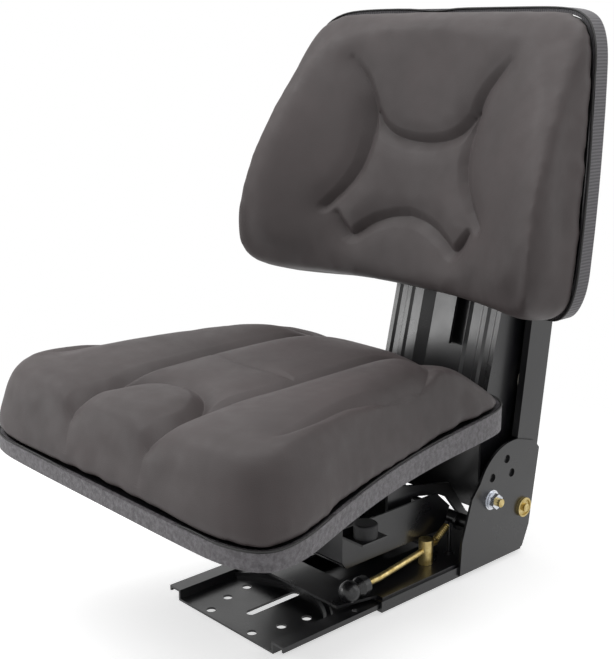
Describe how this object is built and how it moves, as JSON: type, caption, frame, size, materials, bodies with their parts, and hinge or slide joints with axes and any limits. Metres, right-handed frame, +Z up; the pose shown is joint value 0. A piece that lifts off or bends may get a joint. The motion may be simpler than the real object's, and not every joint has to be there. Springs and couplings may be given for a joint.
{
  "type": "tractor seat",
  "caption": "Sprung vehicle seat: moulded cushion and backrest on a leaning column, with slide rails, a lock lever and a slotted base tray.",
  "frame": {"origin": "midway between the front pair of fixing holes, on the tray's flat underside", "axes": "+Z up, +Y to the rear of the seat, +X to the lock lever's side"},
  "size_m": [0.4674, 0.6017, 0.642],
  "materials": {
    "black_steel": "satin black powder coat",
    "vinyl": "matt moulded vinyl",
    "trim_band": "matt grained plastic",
    "shell": "matt moulded plastic",
    "yellow_zinc": "yellow passivated zinc",
    "silver_zinc": "bright zinc",
    "rubber": "matt rubber",
    "knob": "satin moulded plastic",
    "roller": "turned nylon",
    "spring_steel": "oiled spring steel"
  },
  "bodies": {
    "base": {"base_tray": "black_steel", "lock_rack": "black_steel"},
    "slide_frame": {"left_rail": "black_steel", "right_rail": "black_steel", "left_side_plate": "black_steel", "right_side_plate": "black_steel", "rail_cross_plate": "black_steel", "rear_column": "black_steel", "column_cross_tube": "black_steel", "support_box": "black_steel", "left_support_arm": "black_steel", "right_support_arm": "black_steel", "bump_stops": "rubber", "tilt_bolts": "yellow_zinc", "tilt_washers": "yellow_zinc", "tilt_nuts": "silver_zinc", "pivot_pins": "yellow_zinc", "pivot_washers": "yellow_zinc", "lever_spring": "yellow_zinc", "lever_spring_post": "black_steel", "adjuster_plate": "black_steel"},
    "lock_lever": {"lock_lever_rod": "yellow_zinc", "lock_lever_knob": "knob", "lock_pawl": "black_steel"},
    "carriage": {"carriage_panel": "black_steel", "left_back_bracket": "black_steel", "right_back_bracket": "black_steel", "backrest_bolts": "yellow_zinc", "panel_tongue": "black_steel", "roller_axles": "yellow_zinc", "spring_beam": "black_steel", "left_main_spring": "spring_steel", "right_main_spring": "spring_steel", "left_seat_arm": "black_steel", "right_seat_arm": "black_steel", "stop_bar": "black_steel", "seat_pan": "black_steel", "seat_cushion": "vinyl", "seat_trim": "trim_band", "backrest_cushion": "vinyl", "backrest_shell": "shell", "backrest_trim": "trim_band"},
    "weight_adjuster": {"adjuster_screw": "yellow_zinc", "adjuster_knob": "knob"},
    "spring_yoke": {"spring_yoke": "black_steel"},
    "upper_roller_left": {"upper_roller_left": "roller"},
    "upper_roller_right": {"upper_roller_right": "roller"},
    "lower_roller_left": {"lower_roller_left": "roller"},
    "lower_roller_right": {"lower_roller_right": "roller"}
  },
  "joints": [
    {"name": "fore_aft_slide", "type": "slide", "parent": "base", "child": "slide_frame", "axis": [0, -1, 0], "range_m": [0, 0.12]},
    {"name": "lock_lever_turn", "type": "hinge", "parent": "slide_frame", "child": "lock_lever", "pos_m": [0.07, 0.233, 0.035], "axis": [0, 0, 1], "range_deg": [0, 12], "stiffness_Nm_per_rad": 0.8, "springref_deg": -14.32, "deforming": ["lever_spring"]},
    {"name": "suspension_slide", "type": "slide", "parent": "slide_frame", "child": "carriage", "axis": [0, 0.1219, 0.9925], "range_m": [-0.05, 0], "stiffness_N_per_m": 8000, "springref_m": 0.05, "deforming": ["left_main_spring", "right_main_spring"]},
    {"name": "weight_adjuster_turn", "type": "hinge", "parent": "slide_frame", "child": "weight_adjuster", "pos_m": [0, 0.41294, 0.4], "axis": [0, 0.1219, 0.9925], "range_deg": [0, 1800.1]},
    {"name": "spring_yoke_lift", "type": "slide", "parent": "slide_frame", "child": "spring_yoke", "axis": [0, 0.1219, 0.9925], "range_m": [0, 0.02]},
    {"name": "upper_roller_left_turn", "type": "hinge", "parent": "carriage", "child": "upper_roller_left", "pos_m": [0.09, 0.40994, 0.4], "axis": [1, 0, 0], "range_deg": [-180, 180]},
    {"name": "upper_roller_right_turn", "type": "hinge", "parent": "carriage", "child": "upper_roller_right", "pos_m": [-0.09, 0.40994, 0.4], "axis": [1, 0, 0], "range_deg": [-180, 180]},
    {"name": "lower_roller_left_turn", "type": "hinge", "parent": "carriage", "child": "lower_roller_left", "pos_m": [0.09, 0.38723, 0.215], "axis": [1, 0, 0], "range_deg": [-180, 180]},
    {"name": "lower_roller_right_turn", "type": "hinge", "parent": "carriage", "child": "lower_roller_right", "pos_m": [-0.09, 0.38723, 0.215], "axis": [1, 0, 0], "range_deg": [-180, 180]}
  ],
  "couplings": [
    {"joint": "weight_adjuster_turn", "follows": "spring_yoke_lift", "rad_per_m": 1570.8},
    {"joint": "upper_roller_left_turn", "follows": "suspension_slide", "rad_per_m": 57.971},
    {"joint": "upper_roller_right_turn", "follows": "suspension_slide", "rad_per_m": 57.971},
    {"joint": "lower_roller_left_turn", "follows": "suspension_slide", "rad_per_m": -57.971},
    {"joint": "lower_roller_right_turn", "follows": "suspension_slide", "rad_per_m": -57.971}
  ]
}
